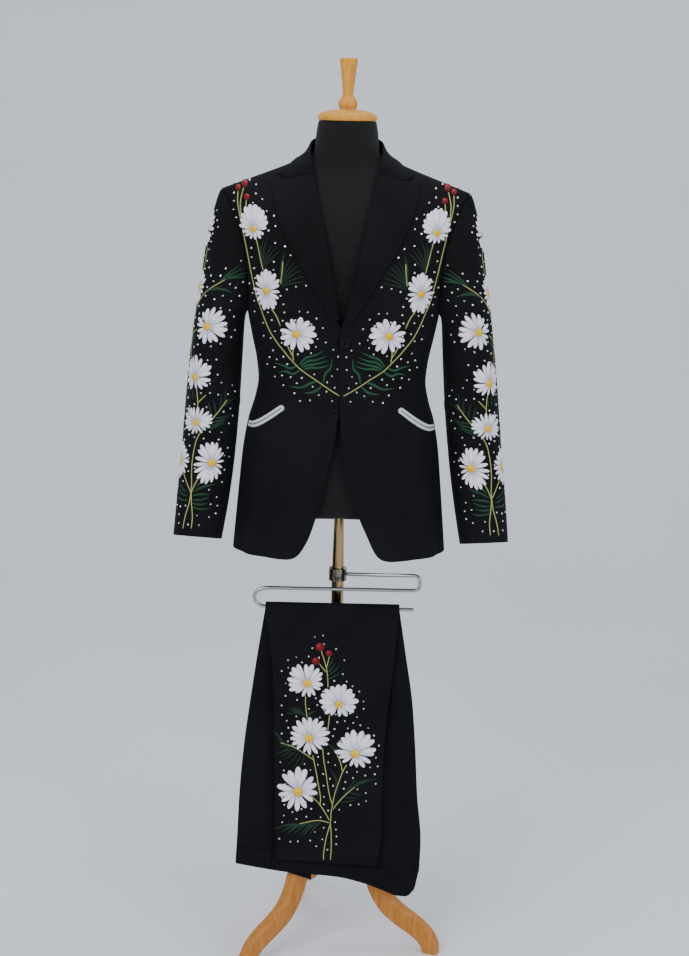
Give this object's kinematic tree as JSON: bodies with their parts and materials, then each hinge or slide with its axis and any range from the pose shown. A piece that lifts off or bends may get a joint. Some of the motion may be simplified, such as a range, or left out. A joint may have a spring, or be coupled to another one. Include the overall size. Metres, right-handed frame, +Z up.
{
  "type": "western suit on a dress form",
  "caption": "Embroidered black western suit: jacket on a limbless dress form with a tripod stand, folded trousers on the stand's bar.",
  "frame": {"origin": "on the floor, under the middle of the part's box seen from above; the pole's axis is at x -0.0040, y -0.0305", "axes": "+Z up, +X to the right of someone who faces the jacket's front, +Y from front to back"},
  "size_m": [0.63, 0.3656, 1.7175],
  "materials": {
    "suit_cloth": "near-black worsted wool, smooth, matt",
    "lining": "dark pocketing cloth",
    "form_jersey": "black matt jersey",
    "piping_cord": "white satin cord",
    "button_horn": "dark polished",
    "pale_wood": "honey coloured, satin varnish",
    "old_brass": "antique brass, satin",
    "bright_steel": "bright drawn steel"
  },
  "bodies": {
    "root": {"back_pocket_welt_left": "suit_cloth", "back_pocket_welt_right": "suit_cloth", "belt_loop_left_1": "suit_cloth", "belt_loop_left_2": "suit_cloth", "belt_loop_left_3": "suit_cloth", "belt_loop_right_1": "suit_cloth", "belt_loop_right_2": "suit_cloth", "belt_loop_right_3": "suit_cloth", "button_lower": "button_horn", "button_upper": "button_horn", "clamp_collar": "old_brass", "collar_fall": "suit_cloth", "collar_stand": "suit_cloth", "finial": "pale_wood", "hub": "pale_wood", "jacket_back_left": "suit_cloth", "jacket_back_right": "suit_cloth", "jacket_front_left": "suit_cloth", "jacket_front_right": "suit_cloth", "jacket_side_left": "suit_cloth", "jacket_side_right": "suit_cloth", "lapel_left": "suit_cloth", "lapel_right": "suit_cloth", "leg_1": "pale_wood", "leg_2": "pale_wood", "leg_3": "pale_wood", "neck_cap": "pale_wood", "pocket_bag_corner": "lining", "pocket_piping_left": "piping_cord", "pocket_piping_right": "piping_cord", "pole": "old_brass", "sleeve_under_left": "suit_cloth", "sleeve_under_right": "suit_cloth", "sleeve_upper_left": "suit_cloth", "sleeve_upper_right": "suit_cloth", "socket": "old_brass", "torso_form": "form_jersey", "trouser_bar": "bright_steel", "trouser_inner_layers": "suit_cloth", "trouser_left_back": "suit_cloth", "trouser_left_front": "suit_cloth", "trouser_right_back": "suit_cloth", "trouser_right_front": "suit_cloth", "waistband_left": "suit_cloth", "waistband_right": "suit_cloth"}
  },
  "joints": []
}
